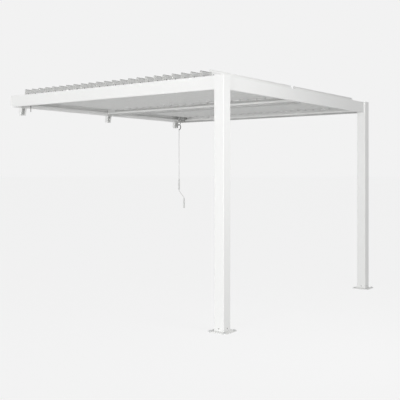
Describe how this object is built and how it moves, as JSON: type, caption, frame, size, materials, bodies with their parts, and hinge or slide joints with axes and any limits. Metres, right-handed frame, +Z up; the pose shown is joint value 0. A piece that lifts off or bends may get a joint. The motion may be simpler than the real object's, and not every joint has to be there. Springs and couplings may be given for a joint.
{
  "type": "wall mounted louvered pergola",
  "caption": "Lean-to pergola with front posts, gutter beams, wall brackets and two bays of tilting louvre blades turned by a hand crank.",
  "frame": {"origin": "centre of the back face of the middle wall bracket", "axes": "+X along the wall, +Y into the wall, +Z up; the posts stand towards -Y"},
  "size_m": [3.395, 3.1275, 2.468],
  "materials": {
    "frame_white": "satin",
    "louvre_white": "satin",
    "plastic_grey": "matte",
    "bare_metal": "satin"
  },
  "bodies": {
    "frame": {"front_posts": "frame_white", "base_plates": "frame_white", "left_side_beam": "frame_white", "right_side_beam": "frame_white", "front_beam": "frame_white", "wall_beam": "frame_white", "centre_beam": "frame_white", "wall_brackets": "frame_white", "rear_panels": "frame_white", "gearboxes": "plastic_grey"},
    "louvre_row_01": {"louvre_row_01": "louvre_white"},
    "louvre_row_02": {"louvre_row_02": "louvre_white"},
    "louvre_row_03": {"louvre_row_03": "louvre_white"},
    "louvre_row_04": {"louvre_row_04": "louvre_white"},
    "louvre_row_05": {"louvre_row_05": "louvre_white"},
    "louvre_row_06": {"louvre_row_06": "louvre_white"},
    "louvre_row_07": {"louvre_row_07": "louvre_white"},
    "louvre_row_08": {"louvre_row_08": "louvre_white"},
    "louvre_row_09": {"louvre_row_09": "louvre_white"},
    "louvre_row_10": {"louvre_row_10": "louvre_white"},
    "louvre_row_11": {"louvre_row_11": "louvre_white"},
    "louvre_row_12": {"louvre_row_12": "louvre_white"},
    "louvre_row_13": {"louvre_row_13": "louvre_white"},
    "louvre_row_14": {"louvre_row_14": "louvre_white"},
    "louvre_row_15": {"louvre_row_15": "louvre_white"},
    "louvre_row_16": {"louvre_row_16": "louvre_white"},
    "louvre_row_17": {"louvre_row_17": "louvre_white"},
    "louvre_row_18": {"louvre_row_18": "louvre_white"},
    "louvre_row_19": {"louvre_row_19": "louvre_white"},
    "louvre_row_20": {"louvre_row_20": "louvre_white"},
    "louvre_row_21": {"louvre_row_21": "louvre_white"},
    "louvre_row_22": {"louvre_row_22": "louvre_white"},
    "louvre_row_23": {"louvre_row_23": "louvre_white"},
    "louvre_row_24": {"louvre_row_24": "louvre_white"},
    "drive": {"drive_bars": "bare_metal"},
    "gear_arms": {"gear_arms": "bare_metal"},
    "crank_left": {"crank_eye_left": "bare_metal"},
    "crank_right": {"crank_eye_right": "bare_metal", "crank_rod": "frame_white"}
  },
  "joints": [
    {"name": "louvre_row_01_turn", "type": "hinge", "parent": "frame", "child": "louvre_row_01", "pos_m": [0, -2.883, 0.161], "axis": [1, 0, 0], "range_deg": [0, 90]},
    {"name": "louvre_row_02_turn", "type": "hinge", "parent": "frame", "child": "louvre_row_02", "pos_m": [0, -2.767, 0.161], "axis": [1, 0, 0], "range_deg": [0, 90]},
    {"name": "louvre_row_03_turn", "type": "hinge", "parent": "frame", "child": "louvre_row_03", "pos_m": [0, -2.651, 0.161], "axis": [1, 0, 0], "range_deg": [0, 90]},
    {"name": "louvre_row_04_turn", "type": "hinge", "parent": "frame", "child": "louvre_row_04", "pos_m": [0, -2.535, 0.161], "axis": [1, 0, 0], "range_deg": [0, 90]},
    {"name": "louvre_row_05_turn", "type": "hinge", "parent": "frame", "child": "louvre_row_05", "pos_m": [0, -2.419, 0.161], "axis": [1, 0, 0], "range_deg": [0, 90]},
    {"name": "louvre_row_06_turn", "type": "hinge", "parent": "frame", "child": "louvre_row_06", "pos_m": [0, -2.303, 0.161], "axis": [1, 0, 0], "range_deg": [0, 90]},
    {"name": "louvre_row_07_turn", "type": "hinge", "parent": "frame", "child": "louvre_row_07", "pos_m": [0, -2.187, 0.161], "axis": [1, 0, 0], "range_deg": [0, 90]},
    {"name": "louvre_row_08_turn", "type": "hinge", "parent": "frame", "child": "louvre_row_08", "pos_m": [0, -2.071, 0.161], "axis": [1, 0, 0], "range_deg": [0, 90]},
    {"name": "louvre_row_09_turn", "type": "hinge", "parent": "frame", "child": "louvre_row_09", "pos_m": [0, -1.955, 0.161], "axis": [1, 0, 0], "range_deg": [0, 90]},
    {"name": "louvre_row_10_turn", "type": "hinge", "parent": "frame", "child": "louvre_row_10", "pos_m": [0, -1.839, 0.161], "axis": [1, 0, 0], "range_deg": [0, 90]},
    {"name": "louvre_row_11_turn", "type": "hinge", "parent": "frame", "child": "louvre_row_11", "pos_m": [0, -1.723, 0.161], "axis": [1, 0, 0], "range_deg": [0, 90]},
    {"name": "louvre_turn", "type": "hinge", "parent": "frame", "child": "louvre_row_12", "pos_m": [0, -1.607, 0.161], "axis": [1, 0, 0], "range_deg": [0, 90]},
    {"name": "louvre_row_13_turn", "type": "hinge", "parent": "frame", "child": "louvre_row_13", "pos_m": [0, -1.491, 0.161], "axis": [1, 0, 0], "range_deg": [0, 90]},
    {"name": "louvre_row_14_turn", "type": "hinge", "parent": "frame", "child": "louvre_row_14", "pos_m": [0, -1.375, 0.161], "axis": [1, 0, 0], "range_deg": [0, 90]},
    {"name": "louvre_row_15_turn", "type": "hinge", "parent": "frame", "child": "louvre_row_15", "pos_m": [0, -1.259, 0.161], "axis": [1, 0, 0], "range_deg": [0, 90]},
    {"name": "louvre_row_16_turn", "type": "hinge", "parent": "frame", "child": "louvre_row_16", "pos_m": [0, -1.143, 0.161], "axis": [1, 0, 0], "range_deg": [0, 90]},
    {"name": "louvre_row_17_turn", "type": "hinge", "parent": "frame", "child": "louvre_row_17", "pos_m": [0, -1.027, 0.161], "axis": [1, 0, 0], "range_deg": [0, 90]},
    {"name": "louvre_row_18_turn", "type": "hinge", "parent": "frame", "child": "louvre_row_18", "pos_m": [0, -0.911, 0.161], "axis": [1, 0, 0], "range_deg": [0, 90]},
    {"name": "louvre_row_19_turn", "type": "hinge", "parent": "frame", "child": "louvre_row_19", "pos_m": [0, -0.795, 0.161], "axis": [1, 0, 0], "range_deg": [0, 90]},
    {"name": "louvre_row_20_turn", "type": "hinge", "parent": "frame", "child": "louvre_row_20", "pos_m": [0, -0.679, 0.161], "axis": [1, 0, 0], "range_deg": [0, 90]},
    {"name": "louvre_row_21_turn", "type": "hinge", "parent": "frame", "child": "louvre_row_21", "pos_m": [0, -0.563, 0.161], "axis": [1, 0, 0], "range_deg": [0, 90]},
    {"name": "louvre_row_22_turn", "type": "hinge", "parent": "frame", "child": "louvre_row_22", "pos_m": [0, -0.447, 0.161], "axis": [1, 0, 0], "range_deg": [0, 90]},
    {"name": "louvre_row_23_turn", "type": "hinge", "parent": "frame", "child": "louvre_row_23", "pos_m": [0, -0.331, 0.161], "axis": [1, 0, 0], "range_deg": [0, 90]},
    {"name": "louvre_row_24_turn", "type": "hinge", "parent": "frame", "child": "louvre_row_24", "pos_m": [0, -0.215, 0.161], "axis": [1, 0, 0], "range_deg": [0, 90]},
    {"name": "drive_swing", "type": "hinge", "parent": "louvre_row_12", "child": "drive", "pos_m": [0, -1.62963, 0.13837], "axis": [1, 0, 0], "range_deg": [-90, 0]},
    {"name": "gear_arm_turn", "type": "hinge", "parent": "frame", "child": "gear_arms", "pos_m": [0, -0.12496, 0.107], "axis": [1, 0, 0], "range_deg": [0, 90]},
    {"name": "crank_left_turn", "type": "hinge", "parent": "frame", "child": "crank_left", "pos_m": [-1.431, -0.12496, 0], "axis": [0, 0, 1], "range_deg": [0, 1440]},
    {"name": "crank_right_turn", "type": "hinge", "parent": "frame", "child": "crank_right", "pos_m": [1.431, -0.12496, 0], "axis": [0, 0, 1], "range_deg": [0, 1440]}
  ],
  "couplings": [
    {"joint": "louvre_row_01_turn", "follows": "louvre_turn", "ratio": 1},
    {"joint": "louvre_row_02_turn", "follows": "louvre_turn", "ratio": 1},
    {"joint": "louvre_row_03_turn", "follows": "louvre_turn", "ratio": 1},
    {"joint": "louvre_row_04_turn", "follows": "louvre_turn", "ratio": 1},
    {"joint": "louvre_row_05_turn", "follows": "louvre_turn", "ratio": 1},
    {"joint": "louvre_row_06_turn", "follows": "louvre_turn", "ratio": 1},
    {"joint": "louvre_row_07_turn", "follows": "louvre_turn", "ratio": 1},
    {"joint": "louvre_row_08_turn", "follows": "louvre_turn", "ratio": 1},
    {"joint": "louvre_row_09_turn", "follows": "louvre_turn", "ratio": 1},
    {"joint": "louvre_row_10_turn", "follows": "louvre_turn", "ratio": 1},
    {"joint": "louvre_row_11_turn", "follows": "louvre_turn", "ratio": 1},
    {"joint": "louvre_row_13_turn", "follows": "louvre_turn", "ratio": 1},
    {"joint": "louvre_row_14_turn", "follows": "louvre_turn", "ratio": 1},
    {"joint": "louvre_row_15_turn", "follows": "louvre_turn", "ratio": 1},
    {"joint": "louvre_row_16_turn", "follows": "louvre_turn", "ratio": 1},
    {"joint": "louvre_row_17_turn", "follows": "louvre_turn", "ratio": 1},
    {"joint": "louvre_row_18_turn", "follows": "louvre_turn", "ratio": 1},
    {"joint": "louvre_row_19_turn", "follows": "louvre_turn", "ratio": 1},
    {"joint": "louvre_row_20_turn", "follows": "louvre_turn", "ratio": 1},
    {"joint": "louvre_row_21_turn", "follows": "louvre_turn", "ratio": 1},
    {"joint": "louvre_row_22_turn", "follows": "louvre_turn", "ratio": 1},
    {"joint": "louvre_row_23_turn", "follows": "louvre_turn", "ratio": 1},
    {"joint": "louvre_row_24_turn", "follows": "louvre_turn", "ratio": 1},
    {"joint": "drive_swing", "follows": "louvre_turn", "ratio": -1},
    {"joint": "gear_arm_turn", "follows": "louvre_turn", "ratio": 1},
    {"joint": "crank_left_turn", "follows": "louvre_turn", "ratio": 16},
    {"joint": "crank_right_turn", "follows": "louvre_turn", "ratio": 16}
  ]
}
